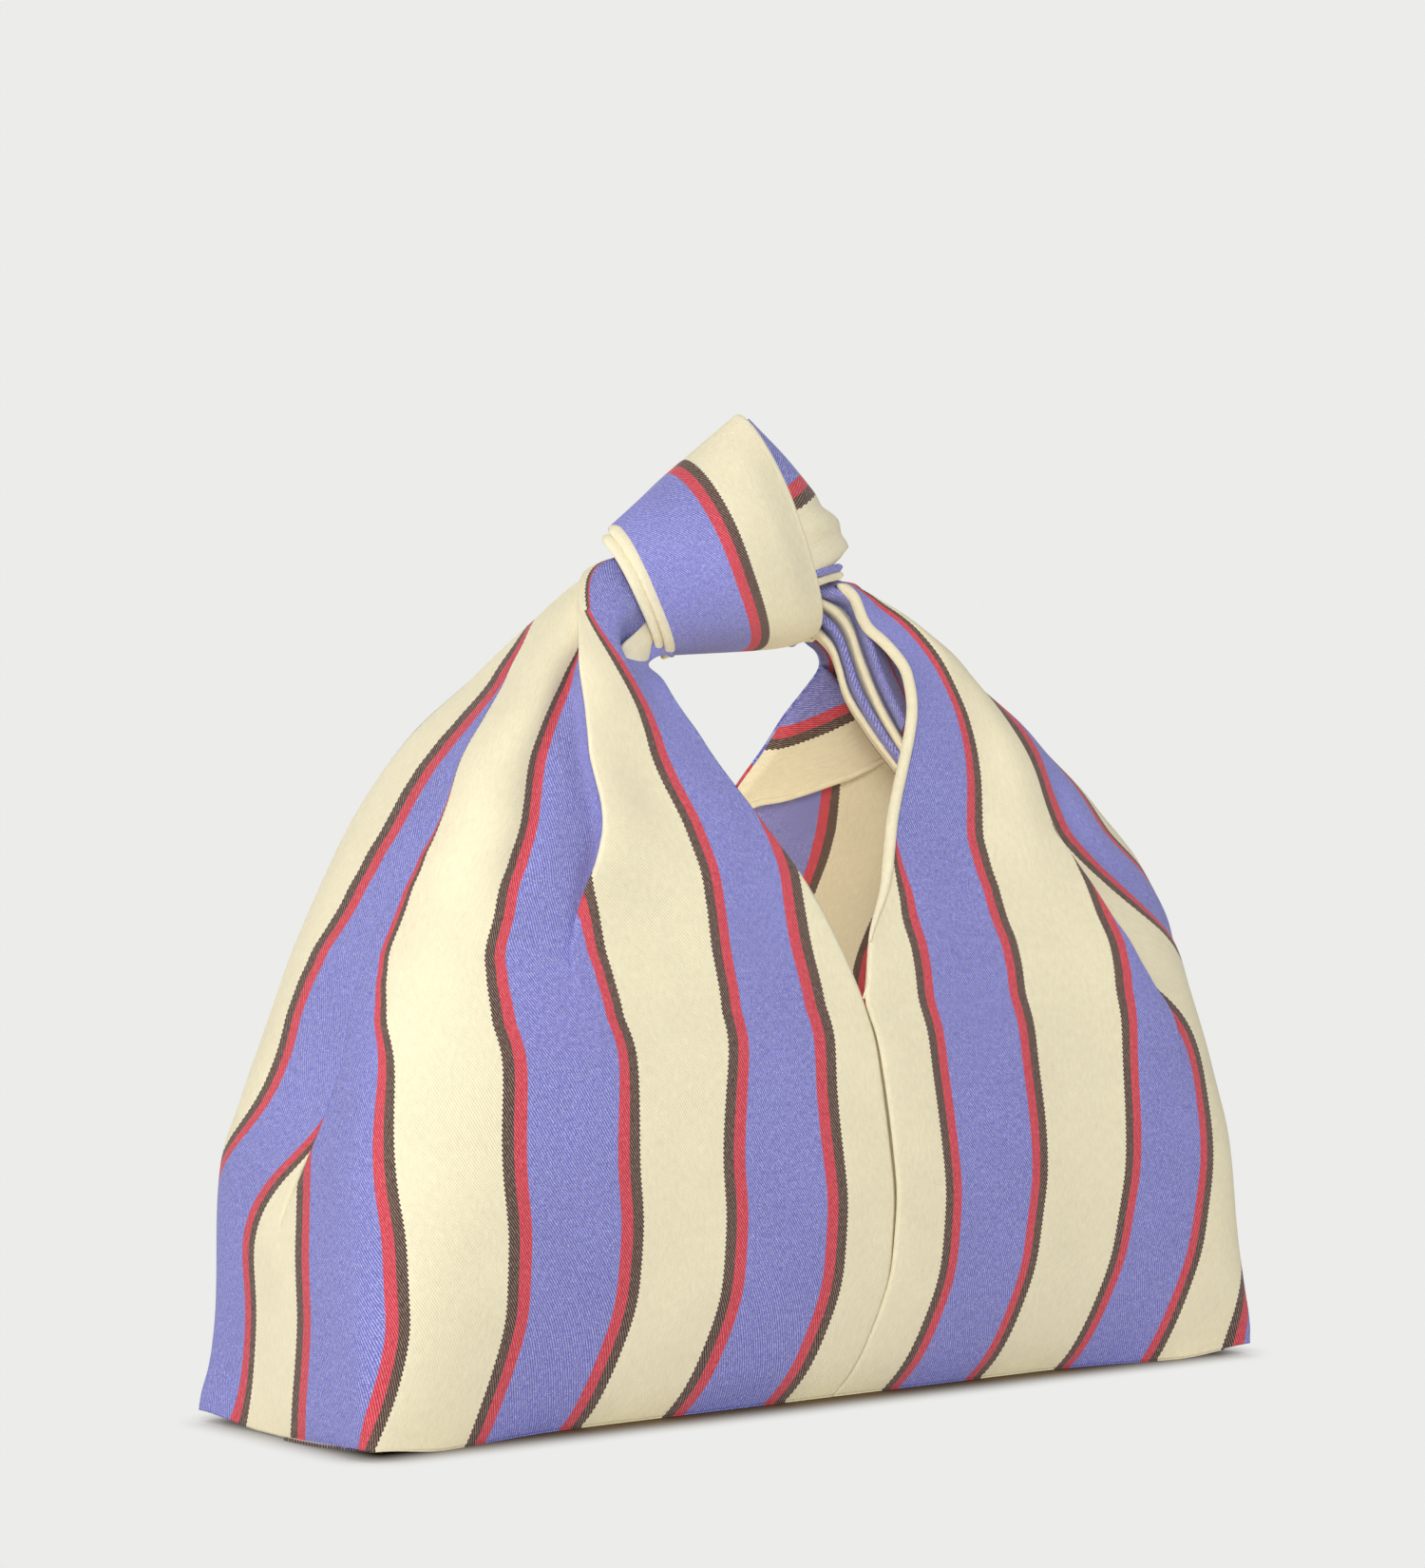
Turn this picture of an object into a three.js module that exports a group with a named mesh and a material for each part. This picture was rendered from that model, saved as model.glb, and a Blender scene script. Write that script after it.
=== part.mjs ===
// A soft knot bag in striped cotton twill, sewn from two panels that gather into straps tied in one knot.
// Millimetres, +Z up. The origin is the middle of the base, on the floor; +X runs along the bag, -Y is its front.
import * as THREE from "three";

// Pouch
const bagLength = 360;
const baseDepth = 95;
const bellyDepth = 122;
const bellyHeight = 85;
const baseRound = 5;
const seamShift = 4;

// V-shaped mouth and the shoulders beside it
const vHeight = 133;
const vDepth = 116;
const shoulderLength = 338;
const pouchTop = 203;
const pouchTopLength = 262;
const pouchTopDepth = 78;
const leftLipSpread = 46;
const rightLipSpread = 30;

// Gathered necks above the pouch
const neckTop = 243;
const neckTopLength = 168;
const neckTopDepth = 50;
const leftNeckSpread = 58;
const rightNeckSpread = 46;
const neckThickness = 7;

// Knot, drawn on the upright plane through the middle of the bag, with heights from the top of the necks
const knotLeftTop = new THREE.Vector2(-57, neckTop + 39.5);
const knotLeftFoot = new THREE.Vector2(-35, neckTop - 2);
const knotRightTop = new THREE.Vector2(-4, neckTop + 77);
const knotRightFoot = new THREE.Vector2(25, neckTop + 0.5);
const knotLeftDepth = 34;
const knotMiddleDepth = 62;
const knotRightDepth = 46;
const knotBow = 4;
const wrapThickness = 4;
const tailTop = new THREE.Vector2(5, neckTop + 72);
const tailFoot = new THREE.Vector2(43, neckTop + 34);
const tailThickness = 24;
const tailEdgeThickness = 7;

// Cloth, seams and turned edges
const clothThickness = 1.2;
const seamGap = 0.4;
const seamWidth = 14;
const seamThickness = 1.8;
const facingSlope = 0.52;
const facingFoot = 5;

// How square each cross-section is: 2 is an ellipse, larger is boxier
const baseSquareness = 14;
const bellySquareness = 6.2;
const shoulderSquareness = 4.2;
const pouchTopSquareness = 4;
const neckSquareness = 3.4;
const knotRoundness = 2.3;

const shades = {
  cream: 0xe8dccb,
  blue: 0x9aa2d4,
  rose: 0xb8506a,
  thread: 0xd9cfc0,
};

const smoothStep = (t) => t * t * (3 - 2 * t);

// A smooth, never overshooting curve through [height, value] pairs
function profile(pairs) {
  const slope = pairs.map((pair, i) => {
    if (i === 0 || i === pairs.length - 1) return 0;
    const before = (pair[1] - pairs[i - 1][1]) / (pair[0] - pairs[i - 1][0]);
    const after = (pairs[i + 1][1] - pair[1]) / (pairs[i + 1][0] - pair[0]);
    return before * after <= 0 ? 0 : (2 * before * after) / (before + after);
  });
  const last = pairs.length - 1;
  slope[0] = (pairs[1][1] - pairs[0][1]) / (pairs[1][0] - pairs[0][0]);
  slope[last] = (pairs[last][1] - pairs[last - 1][1]) / (pairs[last][0] - pairs[last - 1][0]);
  return (z) => {
    if (z <= pairs[0][0]) return pairs[0][1];
    if (z >= pairs[last][0]) return pairs[last][1];
    let i = 0;
    while (z > pairs[i + 1][0]) i += 1;
    const span = pairs[i + 1][0] - pairs[i][0];
    const t = (z - pairs[i][0]) / span;
    const rise = t * t * (3 - 2 * t);
    const lead = t * (1 - t) * (1 - t) * span * slope[i];
    const trail = t * t * (t - 1) * span * slope[i + 1];
    return pairs[i][1] + (pairs[i + 1][1] - pairs[i][1]) * rise + lead + trail;
  };
}

const halfLength = profile([
  [0, bagLength / 2 - baseRound / 3],
  [baseRound, bagLength / 2],
  [bellyHeight, bagLength / 2],
  [vHeight, shoulderLength / 2],
  [pouchTop, pouchTopLength / 2],
  [neckTop, neckTopLength / 2],
]);
const halfDepth = profile([
  [0, baseDepth / 2 - baseRound],
  [baseRound, baseDepth / 2],
  [bellyHeight, bellyDepth / 2],
  [vHeight, vDepth / 2],
  [pouchTop, pouchTopDepth / 2],
  [neckTop, neckTopDepth / 2],
]);
const roundness = profile([
  [0, 1 / baseSquareness],
  [bellyHeight, 1 / bellySquareness],
  [vHeight, 1 / shoulderSquareness],
  [pouchTop, 1 / pouchTopSquareness],
  [neckTop, 1 / neckSquareness],
]);
const leftSpread = profile([
  [vHeight, 0],
  [pouchTop, leftLipSpread],
  [neckTop, leftNeckSpread],
]);
const rightSpread = profile([
  [vHeight, 0],
  [pouchTop, rightLipSpread],
  [neckTop, rightNeckSpread],
]);

// Each half of the bag is one lobe, whose outline runs from its front lip round the end to its back lip
const lobes = {
  left: { side: -1, spread: leftSpread },
  right: { side: 1, spread: rightSpread },
};

function lobeSize(lobe, z, inset) {
  const lip = lobe.side * seamShift + seamGap / 2 + lobe.spread(z);
  const length = halfLength(z) - lip - inset;
  return { lip, length, depth: halfDepth(z) - inset, n: 1 / roundness(z) };
}

// A point on the front (-1) or back (+1) wall, where k runs from the lip (0) to the corner (1)
function wallPoint(lobe, face, k, z, inset) {
  const size = lobeSize(lobe, z, inset);
  const q = k * Math.pow(2, -1 / size.n);
  const x = lobe.side * (size.lip + size.length * q);
  const y = face * size.depth * Math.pow(1 - Math.pow(q, size.n), 1 / size.n);
  return new THREE.Vector3(x, y, z);
}

// A point on the end wall, where k runs from the front corner (0) to the back corner (1)
function endPoint(lobe, k, z, inset) {
  const size = lobeSize(lobe, z, inset);
  const corner = Math.pow(2, -1 / size.n) - seamGap / size.depth;
  const r = corner * (2 * k - 1);
  const x = lobe.side * (size.lip + size.length * Math.pow(1 - Math.pow(Math.abs(r), size.n), 1 / size.n));
  return new THREE.Vector3(x, size.depth * r, z);
}

// A point of the whole outline, where k runs from the front lip (0) to the back lip (1)
function outlinePoint(lobe, k, z, inset) {
  const size = lobeSize(lobe, z, inset);
  const angle = Math.PI * (k - 0.5);
  const power = 2 / size.n;
  const x = lobe.side * (size.lip + size.length * Math.pow(Math.abs(Math.cos(angle)), power));
  const y = size.depth * Math.sign(angle) * Math.pow(Math.abs(Math.sin(angle)), power);
  return new THREE.Vector3(x, y, z);
}

function closedGeometry(points, triangles) {
  let volume = 0;
  const normal = new THREE.Vector3();
  for (const [a, b, c] of triangles) {
    volume += points[a].dot(normal.crossVectors(points[b], points[c]));
  }
  const index = triangles.flatMap(([a, b, c]) => (volume > 0 ? [a, b, c] : [a, c, b]));
  const geometry = new THREE.BufferGeometry();
  geometry.setAttribute("position", new THREE.Float32BufferAttribute(points.flatMap((p) => p.toArray()), 3));
  geometry.setIndex(index);
  geometry.computeVertexNormals();
  return geometry;
}

// A cloth shell: two matching grids of points, joined round their edges
function shell(outer, inner) {
  const rows = outer.length;
  const columns = outer[0].length;
  const points = [...outer.flat(), ...inner.flat()];
  const at = (layer, i, j) => layer * rows * columns + i * columns + j;
  const triangles = [];
  const quad = (a, b, c, d) => triangles.push([a, b, c], [a, c, d]);
  for (let i = 0; i < rows - 1; i += 1) {
    for (let j = 0; j < columns - 1; j += 1) {
      quad(at(0, i, j), at(0, i, j + 1), at(0, i + 1, j + 1), at(0, i + 1, j));
      quad(at(1, i, j), at(1, i + 1, j), at(1, i + 1, j + 1), at(1, i, j + 1));
    }
    quad(at(0, i, 0), at(0, i + 1, 0), at(1, i + 1, 0), at(1, i, 0));
    quad(at(0, i, columns - 1), at(1, i, columns - 1), at(1, i + 1, columns - 1), at(0, i + 1, columns - 1));
  }
  for (let j = 0; j < columns - 1; j += 1) {
    quad(at(0, 0, j), at(1, 0, j), at(1, 0, j + 1), at(0, 0, j + 1));
    quad(at(0, rows - 1, j), at(0, rows - 1, j + 1), at(1, rows - 1, j + 1), at(1, rows - 1, j));
  }
  return closedGeometry(points, triangles);
}

// A solid or a sleeve through rings of points: a sleeve's rings come back along its inside
function loft(rings, sleeve) {
  const count = rings[0].length;
  const points = rings.flat();
  const triangles = [];
  const spans = sleeve ? rings.length : rings.length - 1;
  for (let i = 0; i < spans; i += 1) {
    const near = i * count;
    const far = ((i + 1) % rings.length) * count;
    for (let j = 0; j < count; j += 1) {
      const next = (j + 1) % count;
      triangles.push([near + j, near + next, far + next], [near + j, far + next, far + j]);
    }
  }
  if (!sleeve) {
    for (const [ring, flip] of [[0, true], [rings.length - 1, false]]) {
      const centre = new THREE.Vector3();
      rings[ring].forEach((p) => centre.addScaledVector(p, 1 / count));
      const hub = points.push(centre) - 1;
      for (let j = 0; j < count; j += 1) {
        const a = ring * count + j;
        const b = ring * count + ((j + 1) % count);
        triangles.push(flip ? [hub, b, a] : [hub, a, b]);
      }
    }
  }
  return closedGeometry(points, triangles);
}

const bag = new THREE.Group();

function addPiece(name, geometry, color, roughness = 0.9) {
  const material = new THREE.MeshStandardMaterial({ color, roughness, metalness: 0 });
  const mesh = new THREE.Mesh(geometry, material);
  mesh.name = name;
  bag.add(mesh);
}

const steps = (count, from = 0, to = 1) =>
  Array.from({ length: count + 1 }, (_, i) => from + ((to - from) * i) / count);

const wallColumns = 9;
const endColumns = 8;
const baseTop = clothThickness + seamGap;
const seamFoot = Math.max(baseRound, baseTop + seamThickness + seamGap);
const seamHeights = [0, 0.12, 0.28, 0.46, 0.65, 0.83, 1].map((t) => seamFoot + t * (vHeight - seamFoot));
const mouthHeights = steps(4).slice(1).map((t) => vHeight + t * (pouchTop - vHeight));
const wallHeights = [0, ...seamHeights, ...mouthHeights];

// Walls: each panel is one cut of cloth, folded round its end, so it is built as front, end and back
const frontAndBack = { front: -1, back: 1 };
for (const [lobeName, lobe] of Object.entries(lobes)) {
  const grid = (pointAt, columns) => (inset) =>
    wallHeights.map((z) => steps(columns).map((k) => pointAt(k, z, inset)));
  for (const [faceName, face] of Object.entries(frontAndBack)) {
    const rows = grid((k, z, inset) => wallPoint(lobe, face, k, z, inset), wallColumns);
    addPiece(`${lobeName}_panel_${faceName}`, shell(rows(0), rows(clothThickness)), shades.cream);
  }
  const rows = grid((k, z, inset) => endPoint(lobe, k, z, inset), endColumns);
  addPiece(`${lobeName}_panel_end`, shell(rows(0), rows(clothThickness)), shades.blue);
}

// Base: the four turned-under flaps, flat on the floor inside the foot of the walls
const baseInset = clothThickness + seamGap;
for (const [lobeName, lobe] of Object.entries(lobes)) {
  for (const [faceName, face] of Object.entries(frontAndBack)) {
    const endRim = steps(endColumns / 2).map((k) => endPoint(lobe, 0.5 + face * 0.5 * k, 0, baseInset));
    const wallRim = steps(wallColumns, 1, 0).map((k) => wallPoint(lobe, face, k, 0, baseInset));
    const rim = [...endRim, ...wallRim];
    const inner = lobe.side * lobeSize(lobe, 0, baseInset).lip;
    const shape = new THREE.Shape();
    shape.moveTo(inner, (face * seamGap) / 2);
    rim.forEach((p) => shape.lineTo(p.x, face * Math.max(face * p.y, seamGap / 2)));
    shape.closePath();
    const flap = new THREE.ExtrudeGeometry(shape, { depth: clothThickness, bevelEnabled: false });
    addPiece(`${lobeName}_base_${faceName}`, flap, shades.cream);
  }
}

// Seams: the pressed allowances with their stitching, inside the pouch
const cornerInset = 2 * clothThickness + seamGap;
const cornerReach = halfDepth(0) - cornerInset - seamWidth / 2;
function footReach(lobe) {
  const size = lobeSize(lobe, 0, cornerInset);
  const bend = Math.pow(1 - Math.pow(cornerReach / size.depth, size.n), 1 / size.n);
  return size.lip + size.length * bend - clothThickness;
}
for (const [lobeName, lobe] of Object.entries(lobes)) {
  const strip = new THREE.BoxGeometry(seamWidth / 2, 2 * cornerReach, seamThickness);
  strip.translate(lobe.side * (footReach(lobe) - seamWidth / 4), 0, baseTop + seamThickness / 2);
  addPiece(`${lobeName}_corner_seam`, strip, shades.thread);
}
const bottomStart = -(footReach(lobes.left) - seamWidth / 2 - seamGap);
const bottomEnd = footReach(lobes.right) - seamWidth / 2 - seamGap;
const bottomStrip = new THREE.BoxGeometry(bottomEnd - bottomStart, seamWidth, seamThickness);
bottomStrip.translate((bottomStart + bottomEnd) / 2, 0, baseTop + seamThickness / 2);
addPiece("bottom_seam", bottomStrip, shades.thread);

for (const [faceName, face] of Object.entries(frontAndBack)) {
  const layer = (inset) =>
    seamHeights.map((z) => {
      const y = face * (halfDepth(z) - inset);
      return steps(2).map((k) => new THREE.Vector3(seamShift + seamWidth * (k - 0.5), y, z));
    });
  const outer = clothThickness + seamGap;
  addPiece(`${faceName}_centre_seam`, shell(layer(outer), layer(outer + seamThickness)), shades.thread);
}

// Facings: the top corners of the panels, turned in behind the lips of the V
const facingStart = vHeight + facingFoot;
for (const [lobeName, lobe] of Object.entries(lobes)) {
  for (const [faceName, face] of Object.entries(frontAndBack)) {
    const layer = (inset) =>
      steps(5).map((t) => {
        const z = facingStart + t * (pouchTop - facingStart);
        const width = facingFoot + facingSlope * (z - facingStart);
        const size = lobeSize(lobe, z, inset);
        const reach = width / (size.length * Math.pow(2, -1 / size.n));
        return steps(4).map((k) => wallPoint(lobe, face, k * reach, z, inset));
      });
    const outer = clothThickness + seamGap;
    const facing = shell(layer(outer), layer(outer + clothThickness));
    addPiece(`${faceName}_${lobeName}_facing`, facing, shades.blue);
  }
}

// Necks: the gathered cloth between the pouch and the straps, open towards the mouth
for (const [lobeName, lobe] of Object.entries(lobes)) {
  const layer = (inset) =>
    steps(4).map((t) => {
      const z = pouchTop + seamGap + t * (neckTop - pouchTop - seamGap);
      return steps(14).map((k) => outlinePoint(lobe, k, z, inset));
    });
  addPiece(`${lobeName}_neck`, shell(layer(0), layer(neckThickness)), shades.blue);
}

// Knot: rings of a sleeve that runs from its left edge (t = 0) to its right edge (t = 1)
const knotDepth = profile([[0, knotLeftDepth / 2], [0.5, knotMiddleDepth / 2], [1, knotRightDepth / 2]]);

// along runs from the foot (-1) to the top (+1) of a ring
function knotPlace(t, along, y, inset) {
  const top = knotLeftTop.clone().lerp(knotRightTop, t);
  const foot = knotLeftFoot.clone().lerp(knotRightFoot, t);
  const half = top.clone().sub(foot).multiplyScalar(0.5);
  const centre = top.clone().add(foot).multiplyScalar(0.5);
  const reach = along * (1 - inset / half.length());
  const bow = knotBow * smoothStep(t) * (1 - along * along);
  return new THREE.Vector3(centre.x + half.x * reach + bow, y, centre.y + half.y * reach);
}

const ringSides = 20;
const signedPower = (value, power) => Math.sign(value) * Math.pow(Math.abs(value), power);
const ringAngles = Array.from({ length: ringSides }, (_, i) => (2 * Math.PI * i) / ringSides);

function knotRing(t, inset, share = 1) {
  return ringAngles.map((angle) => {
    const along = share * signedPower(Math.cos(angle), 2 / knotRoundness);
    const across = share * signedPower(Math.sin(angle), 2 / knotRoundness);
    return knotPlace(t, along, across * (knotDepth(t) - inset), inset);
  });
}

const coreStart = 0.2;
const coreEnd = 0.7;
const coreStations = steps(4, coreStart, coreEnd);
const wrapStations = [0, coreStart / 2, ...coreStations, (1 + coreEnd) / 2, 1];
const wrapRings = [
  ...wrapStations.map((t) => knotRing(t, 0)),
  ...wrapStations.toReversed().map((t) => knotRing(t, wrapThickness)),
];
addPiece("knot_wrap", loft(wrapRings, true), shades.cream);

const coreInset = wrapThickness + seamGap;
const coreFace = [0.75, 0.5, 0.25].map((share) => knotRing(coreEnd, coreInset, share));
const coreRings = [...coreStations.map((t) => knotRing(t, coreInset)), ...coreFace];
addPiece("knot_core", loft(coreRings, false), shades.rose);

// Straps: from the gathered neck into the mouth of the knot
const knotLength = knotLeftTop.distanceTo(knotRightTop);
const stationGap = (2 * seamGap) / knotLength;

function neckRing(lobe) {
  const z = neckTop + seamGap;
  const lip = lobeSize(lobe, neckTop, 0).lip;
  const middle = (halfLength(neckTop) + lip) / 2;
  const half = (halfLength(neckTop) - lip) / 2;
  return ringAngles.map((angle) => {
    const along = signedPower(Math.cos(angle), 2 / neckSquareness);
    const across = signedPower(Math.sin(angle), 2 / neckSquareness);
    const y = across * halfDepth(neckTop);
    return new THREE.Vector3(lobe.side * (middle + half * along), y, z);
  });
}

function strapRings(lobe, mouthRing, endRing) {
  const foot = neckRing(lobe);
  const between = [0.3, 0.65].map((t) => foot.map((p, i) => p.clone().lerp(mouthRing[i], t)));
  return [foot, ...between, mouthRing, endRing];
}

const leftMouth = knotRing(0, coreInset + seamGap);
const leftEnd = knotRing(coreStart - stationGap, coreInset + seamGap);
addPiece("left_strap", loft(strapRings(lobes.left, leftMouth, leftEnd), false), shades.cream);

const rootShares = [0.7, 0.35];
const strapFoot = -0.86;
const strapHead = -0.2;
const strapShare = 0.68;
function rightStrapRing(t, share = 1) {
  return ringAngles.map((angle) => {
    const along = strapFoot + (strapHead - strapFoot) * (0.5 + 0.5 * share * Math.cos(angle));
    const y = share * Math.sin(angle) * (knotDepth(t) - coreInset) * strapShare;
    return knotPlace(t, along, y, coreInset);
  });
}
const rootStation = coreEnd + stationGap;
const rightRings = [
  ...strapRings(lobes.right, rightStrapRing(1), rightStrapRing(rootStation)),
  ...rootShares.map((share) => rightStrapRing(rootStation, share)),
];
addPiece("right_strap", loft(rightRings, false), shades.cream);

// Tail: the strap's free end, flat and folded, that stands out of the knot on the right
const tailHead = 0.86;
const tailHeel = -0.08;
function tailRing(thickness, share, place) {
  return ringAngles.map((angle) => {
    const along = 0.5 + 0.5 * share * signedPower(Math.cos(angle), 0.7);
    const y = share * signedPower(Math.sin(angle), 0.7) * (thickness / 2);
    return place(along, y);
  });
}
const insideTail = (t, share = 1) =>
  tailRing(tailThickness, share, (along, y) =>
    knotPlace(t, tailHeel + (tailHead - tailHeel) * along, y, coreInset));
const outsideTail = tailRing(tailEdgeThickness, 1, (along, y) => {
  const p = tailFoot.clone().lerp(tailTop, along);
  return new THREE.Vector3(p.x, y, p.y);
});
const tailRoot = rootShares.toReversed().map((share) => insideTail(rootStation, share));
const tailRings = [...tailRoot, insideTail(rootStation), insideTail(1), outsideTail];
addPiece("knot_tail", loft(tailRings, false), shades.blue);

export default bag;
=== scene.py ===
import math

import bpy
import numpy as np
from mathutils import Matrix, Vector


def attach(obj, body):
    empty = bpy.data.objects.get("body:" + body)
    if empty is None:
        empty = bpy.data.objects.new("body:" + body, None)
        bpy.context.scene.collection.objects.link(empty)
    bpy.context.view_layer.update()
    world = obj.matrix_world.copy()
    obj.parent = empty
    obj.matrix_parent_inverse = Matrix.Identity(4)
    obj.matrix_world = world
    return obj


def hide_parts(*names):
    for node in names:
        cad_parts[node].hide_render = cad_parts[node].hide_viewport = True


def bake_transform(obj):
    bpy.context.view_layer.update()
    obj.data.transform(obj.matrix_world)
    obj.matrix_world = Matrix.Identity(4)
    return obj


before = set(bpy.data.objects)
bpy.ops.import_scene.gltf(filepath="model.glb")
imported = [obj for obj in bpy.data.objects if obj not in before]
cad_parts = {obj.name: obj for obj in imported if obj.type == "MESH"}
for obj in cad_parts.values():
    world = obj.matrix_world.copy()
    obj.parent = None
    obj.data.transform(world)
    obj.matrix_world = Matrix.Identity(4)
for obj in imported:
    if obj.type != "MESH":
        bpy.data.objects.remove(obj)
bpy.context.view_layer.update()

metre = 0.001  # all shapes below are in millimetres
standsAt = 3.0  # heights count from the raised base corners, this far off the floor


# small helpers

def curve(*knots):
    # smooth curve through (place, value) pairs that never overshoots them
    xs, ys = np.array(knots, float).T
    slope = np.diff(ys) / np.diff(xs)
    lean = np.concatenate([slope[:1], np.zeros(len(slope) - 1), slope[-1:]])
    for i in range(1, len(slope)):
        if slope[i - 1] * slope[i] > 0:
            lean[i] = 2 * slope[i - 1] * slope[i] / (slope[i - 1] + slope[i])

    def at(x):
        x = np.clip(np.asarray(x, float), xs[0], xs[-1])
        i = np.clip(np.searchsorted(xs, x, side="right") - 1, 0, len(slope) - 1)
        step = xs[i + 1] - xs[i]
        t = (x - xs[i]) / step
        ends = ys[i] * (1 + 2 * t) * (1 - t) ** 2 + ys[i + 1] * t * t * (3 - 2 * t)
        return ends + step * t * (1 - t) * (lean[i] * (1 - t) - lean[i + 1] * t)
    return at


def path(points, count):
    # even smooth run through a few given points
    points = np.array(points, float)
    chord = np.concatenate([[0], np.cumsum(np.linalg.norm(np.diff(points, axis=0), axis=1))])
    along = np.linspace(0, chord[-1], count)
    return np.stack([curve(*zip(chord, points[:, k]))(along) for k in range(3)], 1)


def smoothStep(low, high, x):
    t = np.clip((np.asarray(x, float) - low) / (high - low), 0, 1)
    return t * t * (3 - 2 * t)


def unit(vectors):
    return vectors / np.maximum(np.linalg.norm(vectors, axis=-1, keepdims=True), 1e-9)


def onThread(thread, along):
    # cloth places that follow one thread
    return np.stack([np.full(len(along), float(thread)), along], 1)


def gridNormals(points, wrapRows=False):
    along = np.gradient(points, axis=0)
    across = np.gradient(points, axis=1)
    if wrapRows:
        across = (np.roll(points, -1, 1) - np.roll(points, 1, 1)) / 2
    return unit(np.cross(across, along))


def soften(points, rounds):
    # relaxes a grid along its first axis, keeping its ends
    points = points.copy()
    for _ in range(rounds):
        points[1:-1] = (points[:-2] + 2 * points[1:-1] + points[2:]) / 4
    return points


def makeObject(name, verts, faces, cloth):
    mesh = bpy.data.meshes.new(name)
    mesh.from_pydata(((np.asarray(verts) + (0, 0, standsAt)) * metre).tolist(), [], faces)
    layer = mesh.uv_layers.new(name="cloth")
    loops = np.zeros(len(mesh.loops), np.int32)
    mesh.loops.foreach_get("vertex_index", loops)
    layer.uv.foreach_set("vector", np.asarray(cloth, np.float32)[loops].ravel())
    mesh.polygons.foreach_set("use_smooth", np.ones(len(mesh.polygons), bool))
    mesh.validate()
    mesh.materials.append(stripedCloth)
    piece = bpy.data.objects.new(name, mesh)
    bpy.context.scene.collection.objects.link(piece)
    return piece


def gridQuads(rows, cols, closed):
    for r in range(rows - 1):
        for c in range(cols if closed else cols - 1):
            d = (c + 1) % cols
            yield r * cols + c, r * cols + d, (r + 1) * cols + d, (r + 1) * cols + c


def sheetMesh(name, points, cloth, thickness, closed=False, flip=False):
    # a cloth of two faces, thickness apart, with its rim closed; closed joins last column to first
    points, cloth = np.array(points), np.array(cloth)
    rows, cols = points.shape[:2]
    normal = gridNormals(points, closed) * (-1 if flip else 1)
    verts = np.concatenate([points.reshape(-1, 3), (points - normal * thickness).reshape(-1, 3)])
    under = rows * cols
    faces = []
    for quad in gridQuads(rows, cols, closed):
        back = tuple(under + k for k in reversed(quad))
        faces += [quad[::-1], back[::-1]] if flip else [quad, back]
    rim = [[(0, c) for c in range(cols)], [(rows - 1, c) for c in range(cols - 1, -1, -1)]]
    if closed:
        rim = [edge + edge[:1] for edge in rim]
    else:
        rim += [[(r, cols - 1) for r in range(rows)], [(r, 0) for r in range(rows - 1, -1, -1)]]
    for edge in rim:
        for (r0, c0), (r1, c1) in zip(edge, edge[1:]):
            i, j = r0 * cols + c0, r1 * cols + c1
            quad = (j, i, under + i, under + j)
            faces.append(quad[::-1] if flip else quad)
    twice = np.concatenate([cloth.reshape(-1, 2), cloth.reshape(-1, 2)])
    return makeObject(name, verts, faces, twice)


def tubeMesh(name, centre, across, outward, half, cloth):
    # closed flattened tube; centre N x 3, across and outward unit vectors, half = (wide, thick) per station
    count, around = len(centre), 14
    angle = np.linspace(0, 2 * np.pi, around, endpoint=False)
    ring = (np.cos(angle)[None, :, None] * (half[:, :1] * across)[:, None]
            + np.sin(angle)[None, :, None] * (half[:, 1:] * outward)[:, None])
    verts = (centre[:, None] + ring).reshape(-1, 3)
    faces = list(gridQuads(count, around, True))
    faces += [tuple(range(around))[::-1], tuple((count - 1) * around + c for c in range(around))]
    flatCloth = np.stack([cloth[:, None, 0] + np.cos(angle)[None] * half[:, :1],
                          np.repeat(cloth[:, 1:], around, 1)], 2).reshape(-1, 2)
    return makeObject(name, verts, faces, flatCloth)


def rollMesh(name, points, half, thread, count=60, start=4.0, outward=(-.6, -.8, 0)):
    # a roll of cloth along a path, tapered at both ends; half = (wide, thick)
    finish, blunt = 4.0, .3
    centre = path(points, count)
    going = unit(np.gradient(centre, axis=0))
    out = unit(np.array(outward) - going * (going @ np.array(outward))[:, None])
    reach = np.concatenate([[0], np.cumsum(np.linalg.norm(np.diff(centre, axis=0), axis=1))])
    taper = np.minimum(1, np.minimum(reach / start, (reach[-1] - reach) / finish) + blunt)
    return tubeMesh(name, centre, np.cross(going, out), out, taper[:, None] * half, onThread(thread, reach))


# materials

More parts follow.
